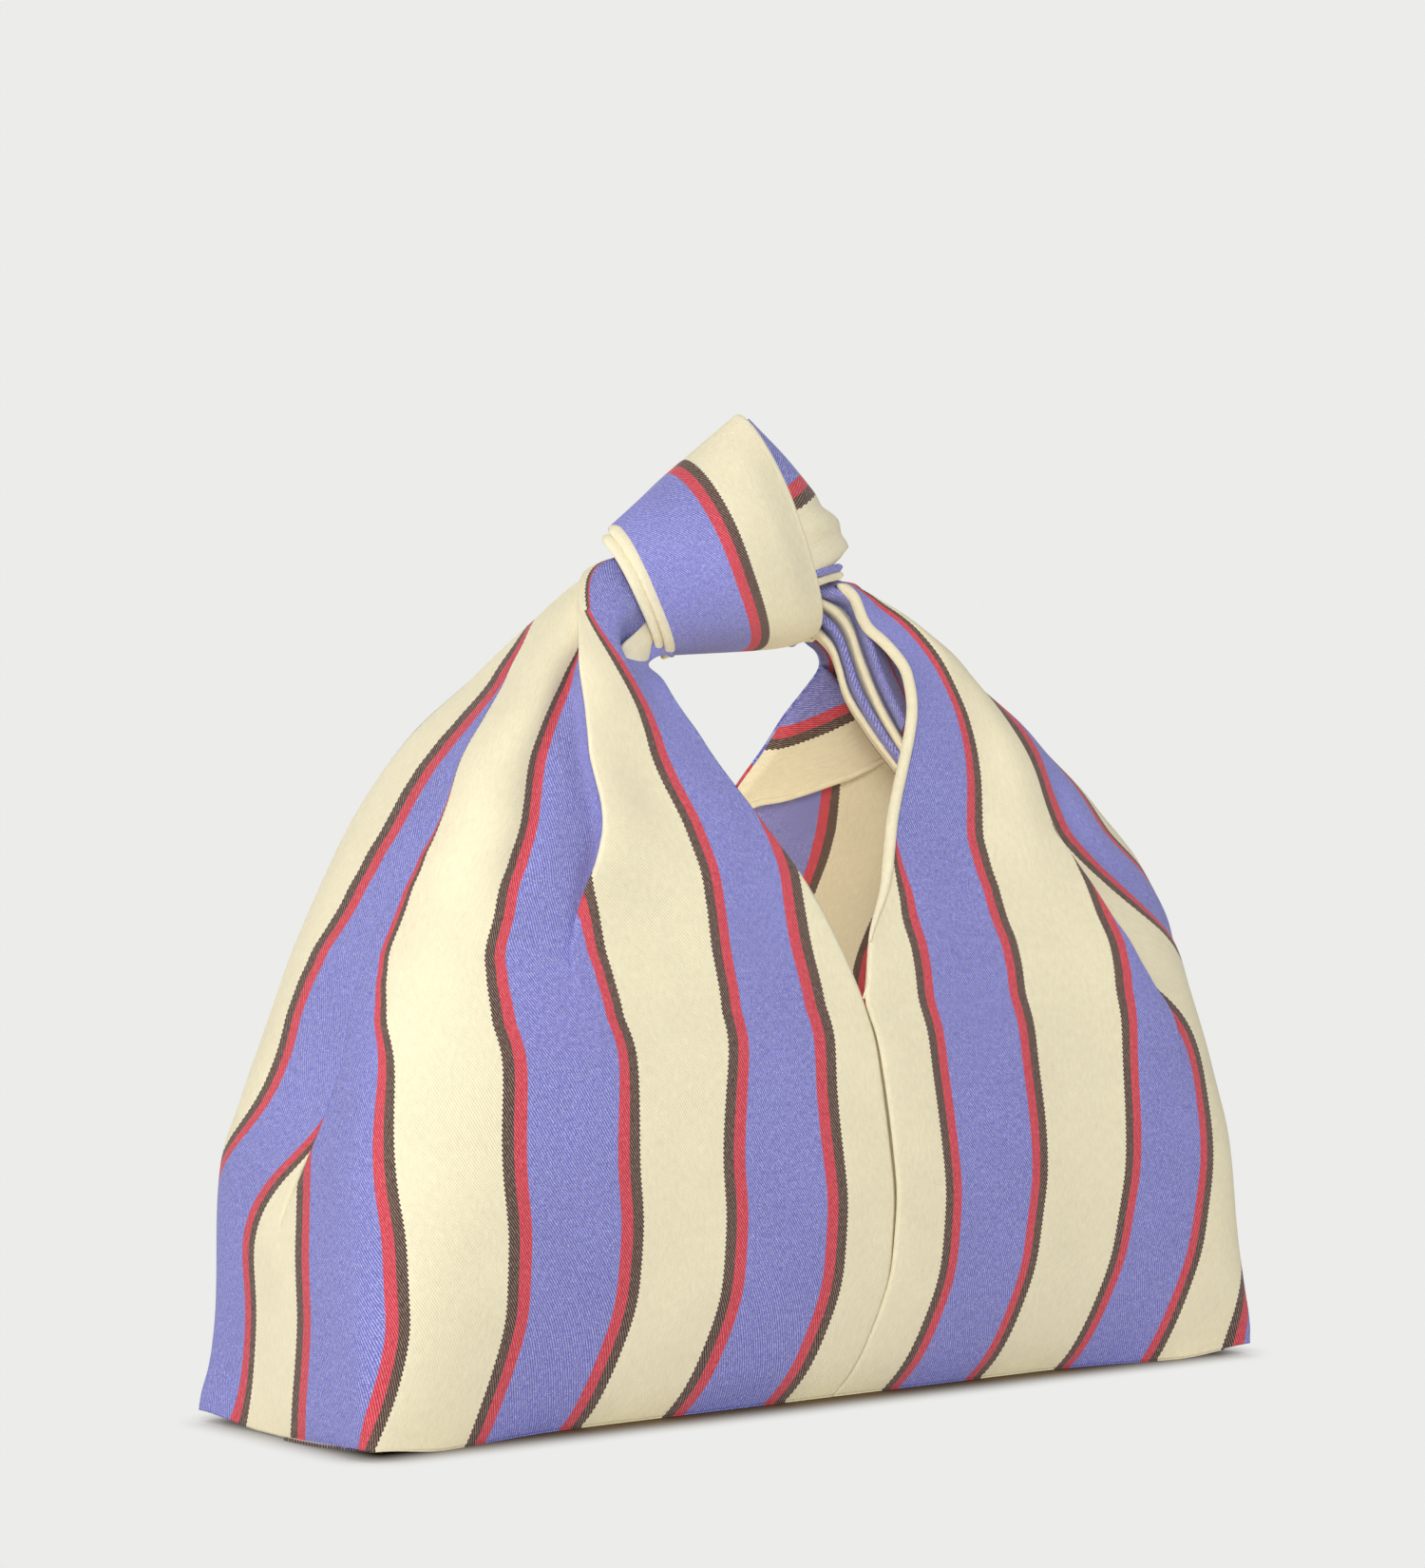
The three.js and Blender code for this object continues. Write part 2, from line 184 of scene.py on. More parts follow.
twill = {
    "cream": (0.905, 0.822, 0.582), "blue": (0.138, 0.144, 0.565), "red": (0.64, 0.018, 0.047),
    "brown": (0.034, 0.020, 0.016), "weft": (0.86, 0.84, 0.81), "brownWeft": (0.68, 0.46, 0.37),
    # painted shade: a darker, warmer cream for the twill valleys
    "creamValleyShade": (0.80, 0.70, 0.46),
    "firstBlue": 45.0, "repeat": 81.0, "blueHalf": 16.0, "redEdge": 20.5, "brownEdge": 24.5,
    "waleAcross": 0.92, "waleAlong": 1.5, "valley": (0.72, 0.15), "edgeStep": 1.2,
    "weftInBlue": 0.52, "weftInRed": 0.28, "weftInBrown": 0.58, "creamValleyShadeShare": 0.10, "sparkle": 0.40,
    "cloudy": 0.045, "fine": 0.12, "heather": 0.13, "calmerCream": 0.08, "yarnPull": (1.6, 0.7),
    "yarnNoise": (1.0, 2.0), "fineNoise": (2.6, 2.0), "cloudNoise": (0.035, 3.0),
    "heatherNoise": (0.5, 3.0), "sparkleNoise": (2.4, 0.0), "sparkleAbove": 0.88,
    "noiseEnds": (0.25, 0.75), "roughYarn": 0.12,
    "bump": 0.25, "bumpDepth": 0.0006, "roughness": 0.80, "specular": 0.25, "sheen": 0.12,
    "sheenRoughness": 0.5,
}


def addNode(tree, kind, inputs=(), **settings):
    # a shader node; its inputs, by name or place, are values or other nodes' outputs
    node = tree.nodes.new("ShaderNode" + kind)
    for key, value in settings.items():
        setattr(node, key, value)
    for place, value in dict(inputs).items():
        socket = node.inputs[place]
        if isinstance(value, bpy.types.NodeSocket):
            tree.links.new(value, socket)
        elif socket.type == "RGBA":
            socket.default_value = (*value, 1)
        else:
            socket.default_value = value
    return node


def stripedTwill(name):
    material = bpy.data.materials.new(name)
    material.use_nodes = True
    tree = material.node_tree
    shader = tree.nodes["Principled BSDF"]

    def doMath(kind, *values):
        return addNode(tree, "Math", enumerate(values), operation=kind).outputs[0]

    def times(a, b):
        return doMath("MULTIPLY", a, b)

    def plus(a, b):
        return doMath("ADD", a, b)

    def above(a, b):
        return doMath("GREATER_THAN", a, b)

    def ranged(value, low, high, toLow=0.0, toHigh=1.0):
        ends = {"Value": value, "From Min": low, "From Max": high, "To Min": toLow, "To Max": toHigh}
        return addNode(tree, "MapRange", ends).outputs["Result"]

    def noise(vector, scale, detail, low=0.0, high=1.0):
        cloud = addNode(tree, "TexNoise", {"Vector": vector, "Scale": scale, "Detail": detail})
        return ranged(cloud.outputs["Fac"], *twill["noiseEnds"], low, high)

    def mixColour(factor, a, b, kind="MIX"):
        mixed = addNode(tree, "Mix", {"Factor": factor, "A": a, "B": b}, data_type="RGBA", blend_type=kind)
        return mixed.outputs["Result"]

    cloth = addNode(tree, "UVMap", uv_map="cloth").outputs["UV"]
    split = addNode(tree, "SeparateXYZ", {0: cloth})
    u, v = split.outputs["X"], split.outputs["Y"]

    # twill ribs run down to the right, and the yarns are uneven along their own length
    waleV = times(v, 1 / twill["waleAlong"])
    wale = plus(times(u, 1 / twill["waleAcross"]), waleV)
    ridge = times(doMath("PINGPONG", wale, 0.5), 2.0)  # 0 in the valley, 1 on the rib
    pulled = [times(way, pull) for way, pull in zip((u, v), twill["yarnPull"])]
    alongYarn = addNode(tree, "CombineXYZ", enumerate(pulled)).outputs[0]
    yarn = noise(alongYarn, *twill["yarnNoise"])
    fine = noise(cloth, *twill["fineNoise"])
    cloudy = noise(cloth, *twill["cloudNoise"], -1.0, 1.0)
    heather = noise(alongYarn, *twill["heatherNoise"], -1.0, 1.0)

    # stripes by the distance from the middle of the blue; the brown's outer edge is stepped by the weave
    step = times(doMath("SUBTRACT", doMath("PINGPONG", waleV, 0.5), 0.25), twill["edgeStep"])
    across = doMath("SUBTRACT", doMath("ABSOLUTE", u), twill["firstBlue"])
    distance = doMath("ABSOLUTE", doMath("WRAP", across, twill["repeat"] / 2, -twill["repeat"] / 2))
    isRed = above(distance, twill["blueHalf"])
    isBrown = above(distance, twill["redEdge"])
    isCream = above(plus(distance, step), twill["brownEdge"])
    warp = mixColour(isBrown, mixColour(isRed, twill["blue"], twill["red"]), twill["brown"])

    # pale weft shows through in the valleys of the coloured stripes
    valley = ranged(ridge, *twill["valley"])
    share = mixColour(isRed, (twill["weftInBlue"],) * 3, (twill["weftInRed"],) * 3)
    share = mixColour(isBrown, share, (twill["weftInBrown"],) * 3)
    broken = plus(times(yarn, 0.9), 0.25)  # weft floats of uneven length
    flecks = times(times(valley, broken), share)
    coloured = mixColour(flecks, warp, mixColour(isBrown, twill["weft"], twill["brownWeft"]))
    sparkle = above(noise(cloth, *twill["sparkleNoise"]), twill["sparkleAbove"])
    inBlue = times(sparkle, doMath("SUBTRACT", 1.0, isRed))
    coloured = mixColour(times(inBlue, twill["sparkle"]), coloured, twill["weft"])
    # painted shade: the cream is mixed towards a darker, warmer colour in the twill valleys
    cream = mixColour(times(valley, twill["creamValleyShadeShare"]), twill["cream"], twill["creamValleyShade"])
    colour = mixColour(isCream, coloured, cream)

    # uneven dye: slow clouds, fine grain, and heathered yarns that are calmer in the cream
    grain = plus(times(fine, twill["fine"]), 0.94)
    bright = plus(times(cloudy, twill["cloudy"]), grain)
    uneven = plus(times(isCream, -twill["calmerCream"]), twill["heather"])
    bright = plus(bright, times(heather, uneven))
    tone = addNode(tree, "CombineColor", {k: bright for k in range(3)})
    colour = mixColour(1.0, colour, tone.outputs[0], "MULTIPLY")

    height = plus(times(ridge, 0.6), times(yarn, 0.4))
    depth = {"Strength": twill["bump"], "Distance": twill["bumpDepth"], "Height": height}
    bump = addNode(tree, "Bump", depth)
    rough = plus(times(yarn, twill["roughYarn"]), twill["roughness"])
    for socket, value in (("Base Color", colour), ("Normal", bump.outputs["Normal"]), ("Roughness", rough)):
        tree.links.new(value, shader.inputs[socket])
    for socket, key in (("Specular IOR Level", "specular"), ("Sheen Weight", "sheen"),
                        ("Sheen Roughness", "sheenRoughness")):
        shader.inputs[socket].default_value = twill[key]
    return material


stripedCloth = stripedTwill("striped_twill")
print("cloth material made")


# the two halves of the bag, each one lobe of cloth from base to knot

bag = {
    "cloth": 1.1, "backSeam": 495.0, "vHeight": 127.0, "frontShare": 312.5, "bands": 24, "frontBands": 9,
    "endBands": range(10, 16), "columns": 380, "drawn": 1000, "footLevels": (0, .6, 1.5, 2.8, 4.4),
    "wallFrom": 6.2, "rowStep": 2.0, "intoKnot": (5.0, 10.0, 15.0), "knotShrink": 26,
    "wave": 1.1, "waveFrom": 14, "swellFade": (25, 20),
    "ripple": .5, "rippleRise": (140, 215), "rippleTo": 300, "dip": .35, "dipWide": 1.2, "seamEnd": (-4, 6),
    "rollFade": (95, 174), "tuckFade": .45, "sagHeight": 30, "cornerOut": (150, 180),
    "cornerDeep": (18, 46), "ear": 3.5, "earHeight": 34, "earOut": (150, 178), "earDeep": (20, 44),
    "depth": curve((0, 47.5), (8, 49.5), (30, 54.5), (82, 61), (130, 58), (176, 46.5), (212, 35.5),
        (232, 28), (258, 21), (283, 16)),
    "round": curve((0, 1 / 60), (6, 1 / 40), (18, 1 / 20), (40, 1 / 11), (74, 1 / 7), (98, 1 / 5),
        (137, 1 / 4), (212, 1 / 4), (232, 1 / 3.4), (283, 1 / 2.4)),
    "seamBow": curve((0, 7), (8, 9), (20, 12), (40, 15.5), (60, 15), (80, 12), (100, 9), (115, 6.5),
        (127, 2)),
    "rollUnder": curve((0, .23), (4, .165), (10, .10), (20, .045), (30, .015), (42, 0)),
    "backTurnedIn": curve((127, 0), (160, 10), (193, 24), (206, 32), (217, 38), (228, 47), (234, 52),
        (260, 40), (283, 30)),
}

pleat = {
    "blur": 1.5, "lead": 8.0, "bend": 1.0, "bendShare": .45, "round": .2, "fade": 20.0,
    "wideGusset": 40, "gussetSides": (20, 16), "crowd": 5, "crowdAt": 3, "crowdWide": 5,
}

leftLobe = {
    "side": -1, "pivot": (32, 231.5), "turn": 62.0, "neck": 50.0,
    "end": curve((0, 179), (6, 180), (80, 180), (100, 176.5), (137, 167), (176, 149), (212, 122),
        (231.5, 101), (240, 92), (247, 88), (262, 81), (274, 78), (281.5, 76)),
    "slim": curve((240, 1), (258, .92), (270, .7), (281, .5)),
    "lip": curve((127, -2), (165, 15), (187, 30), (211, 46), (231.5, 54), (250, 46), (281.5, 39)),
    "backLip": curve((127, -2), (165, 18), (187, 34), (211, 50), (231.5, 57), (250, 47), (281.5, 39)),
    "turnedIn": curve((127, 0), (160, 15), (175, 23), (190, 29), (205, 31), (220, 30), (230, 29.6),
        (283, 29.6)),
    "tuck": curve((215, 0), (230, .1), (240, .5), (250, .66), (265, .55), (281, .2)),
    "tuckWidth": curve((205, 14), (232, 17), (250, 27), (281, 27)),
    "fullness": {
        0: curve((95, 1), (115, .85), (127, .7), (145, 1)),
        1: curve((160, 1), (205, .5), (214, .02)),
        2: curve((80, 1), (100, .85), (130, .78), (160, .7), (175, .74), (190, .72), (205, .68),
            (220, .4), (230, .38), (238, .6), (246, .95), (254, 1.3), (270, 1.4)),
        3: curve((100, 1), (130, .85), (205, .78), (235, .55), (252, .2)),
        4: curve((80, 1), (100, 1.04), (130, 1.2), (145, 1.27), (160, 1.33), (175, 1.42), (190, 1.11),
            (205, .95), (220, .79), (235, .38), (248, .04)),
        5: curve((90, 1), (130, .7), (160, .76)),
        6: curve((20, 1), (60, 1.08), (120, 1.05), (145, .96), (170, .95)),
        7: curve((100, 1), (130, .88), (145, .7), (160, .8), (235, .72), (250, .1)),
        8: curve((120, 1.05), (145, 1), (160, .9), (190, .84), (205, .77), (235, .8), (260, .9)),
        9: curve((90, .8), (130, .55), (175, .3), (188, .05)),
        10: curve((0, 1), (30, 1.1), (60, 1.14), (80, 1.05), (100, 1)),
        **dict.fromkeys((12, 13, 14), curve((0, .8), (55, .8), (90, 1))),
        15: curve((120, 1), (160, 1.1), (220, 1.1), (235, .8), (250, .3)),
    },
    "backFullness": {}, "endFullness": curve((0, 1), (283, 1)),
    "swells": [(168, 13, 185, 232, 3.5), (146, 7, 180, 236, -3.0), (112, 6, 160, 176, -1.5)],
    "pleats": [
        {"from": curve((148, 118), (160, 109), (172, 97), (190, 94.5), (250, 94.5)),
         "to": curve((148, 118.4), (160, 119), (175, 117), (190, 121), (205, 130), (220, 136),
             (229, 143), (236, 149), (244, 153)),
         "under": curve((148, 0), (165, 4), (200, 7), (240, 6)),
         "lift": curve((135, 0), (165, 2.5), (200, 5), (235, 5.5), (245, 3), (254, .8), (281, .5))},
        {"from": curve((62, 247), (80, 229), (100, 216), (130, 205), (160, 197), (190, 194), (235, 191)),
         "to": curve((62, 247.4), (80, 258), (90, 270), (97, 275), (120, 278), (130, 280), (145, 284),
             (160, 290), (190, 292), (205, 295), (220, 304)),
         "gusset": curve((62, 0), (80, 6), (110, 12), (135, 9), (160, 4), (240, 3)),
         "lift": curve((55, 0), (90, -2.0), (150, -2.5), (240, -2))},
    ],
}

rightLobe = {
    "side": 1, "pivot": (29, 233), "turn": 84.0, "neck": 50.0,
    "end": curve((0, 179), (6, 180), (20, 179), (50, 175.5), (80, 174), (100, 173.5), (137, 168),
        (165, 152), (183, 134.5), (198, 118.5), (212, 104.5), (233, 82.5), (236, 79.5), (245, 69.5),
        (256, 63.5), (265, 61), (283, 60.5)),
    "slim": curve((240, 1), (283, 1)),
    "lip": curve((127, 2), (146, 6.5), (164, 17.5), (186, 26.5), (204, 36.5), (212, 41), (222, 45.5),
        (233, 47.5), (249, 47), (261, 46.8), (270, 50), (275, 55), (283, 58)),
    "backLip": curve((127, 2), (160, 14), (193, 26), (206, 33.5), (217, 39.5), (228, 48.5), (234, 52.5),
        (255, 44), (283, 38)),
    "turnedIn": curve((127, 0), (143, 3), (156, 11), (166, 16.5), (178, 19.5), (283, 20)),
    "tuck": curve((225, 0), (248, .15), (261, .25), (283, .5)),
    "tuckWidth": curve((200, 20), (283, 20)),
    "fullness": {
        0: curve((110, 1), (120, 1.06), (127, 1.14), (140, 1)),
        1: curve((160, .8), (178, .02)),
        2: curve((0, .9), (40, .92), (60, .97), (80, 1.05), (130, 1.05), (150, .98), (165, .94),
            (178, .97), (190, .96), (205, .76), (220, .5), (235, .3)),
        3: curve((0, .75), (100, .8), (190, .75), (235, .5)),
        4: curve((0, 1.03), (40, 1.06), (80, 1.09), (100, 1.17), (130, 1.25), (160, 1.15), (175, 1.15),
            (190, .95), (205, .8), (220, .62), (235, .65)),
        5: curve((0, .7), (40, .75), (130, .8), (160, .7)),
        6: curve((0, .88), (60, .87), (110, .9)),
        7: curve((0, .78), (80, .8), (110, 1)),
        8: curve((0, .72), (20, .74), (40, .8), (60, .9), (80, 1.07)),
    },
    "backFullness": {
        2: curve((130, 1), (165, 1.3), (197, 1.7), (225, 1.5)),
        3: curve((130, 1), (197, 1.3)),
        4: curve((130, 1), (165, 1.25), (197, 1.5), (225, 1.3)),
    },
    "swells": [(88, 10, 175, 225, 1.5), (196, 10, 150, 190, -2.0)],
    "endFullness": curve((0, .85), (60, .66), (105, .55), (120, .58), (135, .68), (150, .7), (165, .62),
        (180, .5), (195, .4), (210, .3), (225, .18), (283, .15)),
    "pleats": [
        {"from": curve((114, 134), (133, 116), (150, 110.5), (165, 104), (178, 98), (235, 97)),
         "to": curve((114, 134.4), (124, 141), (133, 147), (150, 160), (165, 175), (175, 182),
             (235, 182.5)),
         "under": curve((114, 0), (135, 6), (150, 6.5), (160, 3), (168, 0), (240, 0)),
         "lift": curve((95, 0), (135, 4), (152, 4), (166, 2), (178, .8), (190, 0), (283, 0))},
        {"from": curve((185, 247), (240, 226)), "to": curve((185, 247.4), (240, 269)),
         "gusset": curve((185, 0), (240, 10)), "lift": curve((180, 0), (240, -2))},
    ],
}


def stripeOf(u):
    # index of the stripe band: 0 first cream, then pairs of narrow bands and wide bands in turn
    edges = [twill["firstBlue"] - twill["brownEdge"]]
    narrow, wide = twill["brownEdge"] - twill["blueHalf"], 2 * twill["blueHalf"]
    for k in range(bag["bands"]):
        edges.append(edges[-1] + (narrow if k % 2 == 0 else wide))
    return np.searchsorted(np.array(edges), u, side="right")


def gentle(full, h):
    # a curve's value at h, eased over its neighbourhood so that the stripes run smoothly
    return float(full(h + np.linspace(-16, 16, 9)) @ np.array([1, 2, 3, 4, 5, 4, 3, 2, 1]) / 25)


def lobeOutline(lobe, h):
    # outline of one level, from the front lip round the end to the back lip: (outward, y)
    angle = np.linspace(0, np.pi, 1600)
    wide = np.sin(angle)
    wide[-1] = 0
    seam = lobe["side"] * bag["seamBow"](h)
    lips = [seam if h < bag["vHeight"] else float(lobe[k](h)) for k in ("lip", "backLip")]
    lip = np.where(angle < np.pi / 2, lips[0], lips[1])
    depth, power = bag["depth"](h) * lobe["slim"](h), 2 * bag["round"](h)
    out = lip + (lobe["end"](h) - lip) * wide ** power
    y = -depth * np.sign(np.cos(angle)) * np.abs(np.cos(angle)) ** power
    return out, y


def placeLevel(lobe, h, out, y):
    # level h is flat below the pivot and turns about it towards the knot above
    far, top = lobe["pivot"]
    tilt = math.radians(lobe["turn"]) * max(0.0, (h - top) / lobe["neck"])
    reach = out - far
    return np.stack([lobe["side"] * (far + reach * math.cos(tilt)), y,
                     np.minimum(h, top) + reach * math.sin(tilt)], 1)


def lobeRow(lobe, h, u):
    # the cloth points at threads u of one level: places along the outline, and how far off it they stand
    stripes = stripeOf(u)
    weight = np.ones_like(u)
    for band, full in lobe["fullness"].items():
        weight[stripes == band] = gentle(full, h)
        if band < bag["frontBands"]:  # the back shares half of it
            weight[stripes == bag["bands"] - band] = 0.5 + 0.5 * gentle(full, h)
    for band, full in lobe["backFullness"].items():
        weight[stripes == bag["bands"] - band] = gentle(full, h)
    for band in bag["endBands"]:
        weight[stripes == band] *= gentle(lobe["endFullness"], h)
    spans = [(gentle(p["from"], h), gentle(p["to"], h)) for p in lobe["pleats"]]
    blur = pleat["blur"]
    for low, high in spans:
        weight *= 1 - np.clip((u - low) / blur + .5, 0, 1) * np.clip((high - u) / blur + .5, 0, 1)
    s = np.concatenate([[0], np.cumsum((weight[1:] + weight[:-1]) / 2 * np.diff(u))])
    out, y = lobeOutline(lobe, h)
    arc = np.concatenate([[0], np.cumsum(np.hypot(np.diff(out), np.diff(y)))])
    front = float(np.interp(bag["frontShare"], u, s))
    rest = s[-1] - front
    s = np.where(s <= front, s, front + (s - front) * (arc[-1] - front) / rest)
    lift = np.zeros_like(u)
    for p, (low, high) in zip(lobe["pleats"], spans):
        lead = min(pleat["lead"], (high - low) / 2)  # cloth that rolls round the fold edge
        inside = np.interp(u, [low, low + lead, max(high, low + lead + .1)], [0, .5, 1])
        edge = float(np.interp(low, u, s))
        rise = p["lift"](h)
        fade = np.exp(-((s - edge) / pleat["fade"]) ** 2)
        if "gusset" in p and high - low > pleat["wideGusset"]:
            first, second = pleat["gussetSides"]
            inside = np.interp(u, [low, low + first, high - second, high], [0, .46, .54, 1])
        tent = 1 - np.abs(2 * inside - 1)
        if "under" in p:  # half round the edge, then in under it
            turn = np.clip(inside / pleat["round"], 0, 1)
            flat = inside - pleat["round"]
            bend = min(pleat["bend"], rise * pleat["bendShare"])
            back = p["under"](h) * np.clip(np.minimum(flat, 1 - inside), 0, 1) * 2
            s = s + bend * np.sin(np.pi * turn) - back
            sunk = np.clip(flat / (1 - pleat["round"]), 0, 1)
            drop = bend * (1 - np.cos(np.pi * turn)) + 2 * (rise - bend) * sunk
            lift += (rise - drop) * fade
        else:
            lift += rise * fade - p["gusset"](h) * tent
    place, ahead, behind = (np.stack([np.interp(s + by, arc, out), np.interp(s + by, arc, y)], 1)
                            for by in (0, .5, -.5))
    near = unit(ahead - behind)
    normal = np.stack([near[:, 1], -near[:, 0]], 1)
    return place, normal, lift, s, arc[-1]


def waves(s, h, seed):
    # slow swells of a soft wall
    turn = np.random.default_rng(seed).uniform(0, 2 * np.pi, 6)
    swell = np.sin(s / 37 + turn[0]) * np.sin(h / 41 + turn[1])
    swell += .7 * np.sin(s / 23 + h / 55 + turn[2]) + .5 * np.sin(s / 61 - h / 30 + turn[3])
    return swell


def buildLobe(lobe):
    top = lobe["pivot"][1] + lobe["neck"]
    levels = np.concatenate([bag["footLevels"], np.arange(bag["wallFrom"], top, bag["rowStep"]), [top]])
    share = np.linspace(0, 1, bag["columns"])
    points, cloth = [], []
    for h in levels:
        lips = [float(f(h)) if h > bag["vHeight"] else 0.0 for f in (lobe["turnedIn"], bag["backTurnedIn"])]
        u = np.linspace(lips[0], bag["backSeam"] - lips[1], bag["drawn"])
        crowd = np.ones_like(u)
        for p in lobe["pleats"]:
            if "under" in p:  # more threads drawn where the cloth folds
                off = (u - gentle(p["from"], h) - pleat["crowdAt"]) / pleat["crowdWide"]
                crowd += pleat["crowd"] * np.exp(-off ** 2)
        crowd = np.cumsum(crowd)
        u = np.interp(share, (crowd - crowd[0]) / (crowd[-1] - crowd[0]), u)
        place, normal, lift, s, total = lobeRow(lobe, h, u)
        lift = lift + bag["wave"] * smoothStep(0, bag["waveFrom"], h) * waves(s, h, 3 + lobe["side"])
        ripple = np.sin(s / 6 + 1.5 * math.sin(h / 50)) * float(smoothStep(*bag["rippleRise"], h))
        lift += bag["ripple"] * ripple * (u < bag["rippleTo"])
        before, after = bag["swellFade"]
        for thread, wide, low, high, rise in lobe["swells"]:
            reach = smoothStep(low - before, low, h) * (1 - smoothStep(high, high + after, h))
            lift += rise * float(reach) * np.exp(-((u - thread) / wide) ** 2)
        edge = np.minimum(s, total - s)
        seam = smoothStep(*bag["seamEnd"], bag["vHeight"] - h)
        lift = lift - seam * bag["dip"] * np.exp(-(edge / bag["dipWide"]) ** 2)  # cloth dips into the seam
        place = place + normal * lift[:, None]
        middle = 1 - smoothStep(*bag["rollFade"], np.abs(place[:, 0]))
        place[:, 1] *= 1 - bag["rollUnder"](h) * middle  # the base rolls under between the corners
        tucked = 1 - smoothStep(bag["tuckFade"], 1, s / lobe["tuckWidth"](h))
        place[:, 1] *= 1 - lobe["tuck"](h) * tucked
        ear = bag["ear"] * max(0.0, 1 - h / bag["earHeight"]) ** 2 * smoothStep(*bag["earOut"], place[:, 0])
        deep = smoothStep(*bag["earDeep"], np.abs(place[:, 1]))
        place += ear[:, None] * (1, .8) * np.sign(place) * deep[:, None]
        level = placeLevel(lobe, h, place[:, 0], place[:, 1])
        corner = smoothStep(*bag["cornerOut"], place[:, 0])
        corner = corner * smoothStep(*bag["cornerDeep"], np.abs(place[:, 1]))
        sag = standsAt * (1 - smoothStep(0, bag["sagHeight"], h))
        level[:, 2] -= sag * (1 - corner)  # the belly sags to the floor
        points.append(level)
        cloth.append(np.stack([lobe["side"] * u, np.full_like(u, h)], 1))
    points = soften(np.array(points), 2)
    turn = math.radians(lobe["turn"])
    inward = np.array([-lobe["side"] * math.sin(turn), 0, math.cos(turn)])
    middle, more = points[-1].mean(0), []
    for step in bag["intoKnot"]:  # the neck runs on into the knot
        more.append(middle + (points[-1] - middle) * (1 - step / bag["knotShrink"]) + inward * step)
        cloth.append(cloth[-1] + (0, 5))
    points = np.concatenate([points, more])
    levels = np.concatenate([levels, top + np.array(bag["intoKnot"])])
    return {"levels": levels, "points": points, "cloth": np.array(cloth)}


leftShape, rightShape = buildLobe(leftLobe), buildLobe(rightLobe)
leftShape["normals"] = -gridNormals(leftShape["points"])
rightShape["normals"] = gridNormals(rightShape["points"])
leftPanel, rightPanel = (
    sheetMesh(name, shape["points"], shape["cloth"], bag["cloth"], flip=shape is leftShape)
    for name, shape in (("left_panel", leftShape), ("right_panel", rightShape)))
halves = (("left", leftLobe, leftShape), ("right", rightLobe, rightShape))
print("panels made")


# facings: the top corners of the panels, folded in along the lips

facing = {
    "from": 128.0, "to": 236.0, "rows": 60, "columns": 22, "edge": 1.4, "gap": 3.2,
    "spread": 6.0, "spreadRate": .2, "cloth": .9, "hem": 1.2, "hemFrom": 6, "hemThread": 10.0,
    "along": curve((128, 0), (160, 2), (193, 5), (206, 13), (217, 23), (228, 28), (236, 36)),
    "down": curve((128, 0), (160, 3), (193, 6.5), (206, 15.5), (217, 22), (228, 29), (236, 31)),
    "size": {"front_left": .35, "front_right": .3, "back_left": 1.0, "back_right": 1.0},
}


def insideWall(shape, back, reach, level, inset):
    # the point inside a front or back wall at a level and a reach out from the middle of the bag
    levels, points = shape["levels"], shape["points"]
    row = int(np.clip(np.searchsorted(levels, level) - 1, 0, len(levels) - 2))
    share = np.clip((level - levels[row]) / (levels[row + 1] - levels[row]), 0, 1)
    found = []
    for r in (row, row + 1):
        end = int(np.argmax(np.abs(points[r, :, 0])))
        run = slice(None, end - 1, -1) if back else slice(0, end)
        x = points[r, run, 0]
        out = np.maximum.accumulate(np.abs(x) * np.sign(x * points[r, end, 0]))
        out = out + np.arange(len(out)) * 1e-6  # never two places at one reach
        grids = (points[r, run], shape["normals"][r, run])
        found.append([np.interp(reach, out, grid[:, k]) for grid in grids for k in range(3)])
    both = np.array(found[0]) * (1 - share) + np.array(found[1]) * share
    return both[:3] - both[3:] * inset


def buildFacing(name, lobe, shape, back, scale):
    lip = lobe["backLip" if back else "lip"]
    rows, cloth = [], []
    for h in np.linspace(facing["from"], facing["to"], facing["rows"]):
        along, down = scale * facing["along"](h), scale * facing["down"](h)
        along += 0 if back else min(facing["spread"], (h - facing["from"]) * facing["spreadRate"])
        width = math.hypot(along, down)
        row, threads = [], []
        for share in np.linspace(0, 1, facing["columns"]) ** 1.2:
            inset = facing["edge"] + (facing["gap"] - facing["edge"]) * min(1, share * width / 4)
            inset += .5 * share * math.sin(share * 3 + h / 9)
            row.append(insideWall(shape, back, float(lip(h)) + share * along, h - share * down, inset))
            fold = width if back else lobe["turnedIn"](h)  # the thread that lies on the fold
            threads.append((lobe["side"] * (fold - share * width), h))
        rows.append(row)
        cloth.append(threads)
    points = soften(np.array(rows), 2)
    cloth = np.array(cloth)
    piece = sheetMesh(name, points, cloth, facing["cloth"], flip=(lobe["side"] > 0) != back)
    edge = points[facing["hemFrom"]:, -1]
    going = unit(np.gradient(edge, axis=0))
    across = points[facing["hemFrom"]:, -2] - edge
    across = unit(across - going * (across * going).sum(1, keepdims=True))
    size = np.tile((facing["hem"], facing["hem"] * .8), (len(edge), 1))
    creamThread = onThread(facing["hemThread"], cloth[facing["hemFrom"]:, -1, 1])
    hem = tubeMesh(name + "_hem", edge, across, np.cross(going, across), size, creamThread)
    return piece, hem


facings = {}
for face in ("front", "back"):
    for sideName, lobe, shape in halves:
        node = face + "_" + sideName + "_facing"
        size = facing["size"][face + "_" + sideName]
        facings[node] = buildFacing(node + "_cloth", lobe, shape, face == "back", size)
print("facings made")


# base: the feet of the panels, turned under and sewn together

